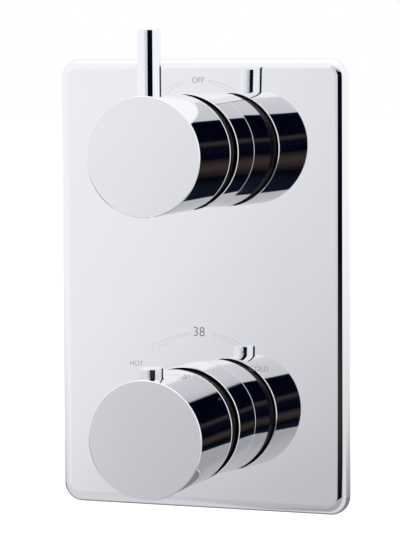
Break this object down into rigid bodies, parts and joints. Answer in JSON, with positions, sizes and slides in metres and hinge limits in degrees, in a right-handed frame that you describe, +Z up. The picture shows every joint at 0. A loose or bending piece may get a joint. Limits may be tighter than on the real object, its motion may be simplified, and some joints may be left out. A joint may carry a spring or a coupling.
{
  "type": "thermostatic shower valve",
  "caption": "Concealed thermostatic shower valve: chrome face plate, flow handle with lever, temperature handle with safety stop button, brass body behind the wall.",
  "frame": {"origin": "on the finished wall face, behind the centre of the face plate", "axes": "+X to the right, +Y into the wall, +Z up"},
  "size_m": [0.1344, 0.1411, 0.213],
  "materials": {
    "chrome": "polished chrome plate, mirror bright",
    "plate_chrome": "polished chrome plate on pressed metal, nearly flat mirror",
    "cast_brass": "fine sand-cast brass, dull",
    "turned_brass": "turned brass with fine tool marks",
    "rubber": "black nitrile rubber",
    "gasket_foam": "closed-cell foam rubber",
    "white_plastic": "moulded acetal, satin",
    "red_plastic": "moulded plastic, satin",
    "blue_plastic": "moulded plastic, satin",
    "ceramic": "lapped alumina ceramic",
    "stainless": "drawn stainless steel",
    "fibre": "vulcanised fibre washer"
  },
  "bodies": {
    "valve": {"face_plate": "plate_chrome", "wall_gasket": "gasket_foam", "valve_body": "cast_brass", "flow_sleeve": "chrome", "temperature_sleeve": "chrome", "flow_sleeve_seal": "rubber", "temperature_sleeve_seal": "rubber", "hot_inlet_union": "turned_brass", "cold_inlet_union": "turned_brass", "left_outlet_union": "turned_brass", "right_outlet_union": "turned_brass", "union_washers": "fibre", "hot_strainer": "stainless", "cold_strainer": "stainless", "hot_check_housing": "red_plastic", "cold_check_housing": "blue_plastic", "hot_check_spring": "stainless", "cold_check_spring": "stainless", "thermostat_housing": "turned_brass", "thermostat_seat": "turned_brass", "thermostat_gland_nut": "turned_brass", "thermostat_o_rings": "rubber", "temperature_spindle_seals": "rubber", "return_spring": "stainless", "stop_ring": "white_plastic", "stop_ring_clip": "stainless", "diverter_housing": "turned_brass", "diverter_gland_nut": "turned_brass", "diverter_o_rings": "rubber", "flow_spindle_seals": "rubber", "fixed_disc": "ceramic", "disc_seal": "rubber"},
    "flow_control": {"flow_knob": "chrome", "flow_lever": "chrome", "flow_adapter": "white_plastic", "flow_adapter_screw": "stainless", "flow_grub_screw": "stainless", "flow_spindle": "turned_brass", "moving_disc": "ceramic"},
    "temperature_control": {"temperature_knob": "chrome", "temperature_adapter": "white_plastic", "temperature_adapter_screw": "stainless", "temperature_grub_screw": "stainless", "temperature_spindle": "turned_brass", "stop_button_spring": "stainless"},
    "stop_button": {"stop_button": "chrome", "stop_catch": "stainless"},
    "regulator": {"regulating_nut": "turned_brass", "overload_spring": "stainless", "overload_cup": "stainless"},
    "thermostat_shuttle": {"wax_element": "turned_brass", "shuttle": "stainless", "shuttle_seal": "rubber"},
    "hot_poppet": {"hot_check_poppet": "white_plastic"},
    "cold_poppet": {"cold_check_poppet": "white_plastic"}
  },
  "joints": [
    {"name": "flow_handle_turn", "type": "hinge", "parent": "valve", "child": "flow_control", "pos_m": [0, 0, 0.0595], "axis": [0, 1, 0], "range_deg": [-90, 90]},
    {"name": "temperature_handle_turn", "type": "hinge", "parent": "valve", "child": "temperature_control", "pos_m": [0, 0, -0.0595], "axis": [0, 1, 0], "range_deg": [-80, 140]},
    {"name": "stop_button_press", "type": "slide", "parent": "temperature_control", "child": "stop_button", "axis": [0, 0, -1], "range_m": [0, 0.003], "stiffness_N_per_m": 500, "springref_m": -0.004, "deforming": ["stop_button_spring"]},
    {"name": "regulating_nut_travel", "type": "slide", "parent": "valve", "child": "regulator", "axis": [0, 1, 0], "range_m": [-0.00046, 0.0008]},
    {"name": "thermostat_shuttle_travel", "type": "slide", "parent": "valve", "child": "thermostat_shuttle", "axis": [0, 1, 0], "range_m": [-0.00046, 0.0008], "deforming": ["return_spring"]},
    {"name": "hot_check_valve_open", "type": "slide", "parent": "valve", "child": "hot_poppet", "axis": [1, 0, 0], "range_m": [0, 0.0025], "stiffness_N_per_m": 60, "springref_m": -0.002, "deforming": ["hot_check_spring"]},
    {"name": "cold_check_valve_open", "type": "slide", "parent": "valve", "child": "cold_poppet", "axis": [-1, 0, 0], "range_m": [0, 0.0025], "stiffness_N_per_m": 60, "springref_m": -0.002, "deforming": ["cold_check_spring"]}
  ],
  "couplings": [
    {"joint": "regulating_nut_travel", "follows": "temperature_handle_turn", "m_per_rad": 0.0003183},
    {"joint": "thermostat_shuttle_travel", "follows": "temperature_handle_turn", "m_per_rad": 0.0003183}
  ]
}
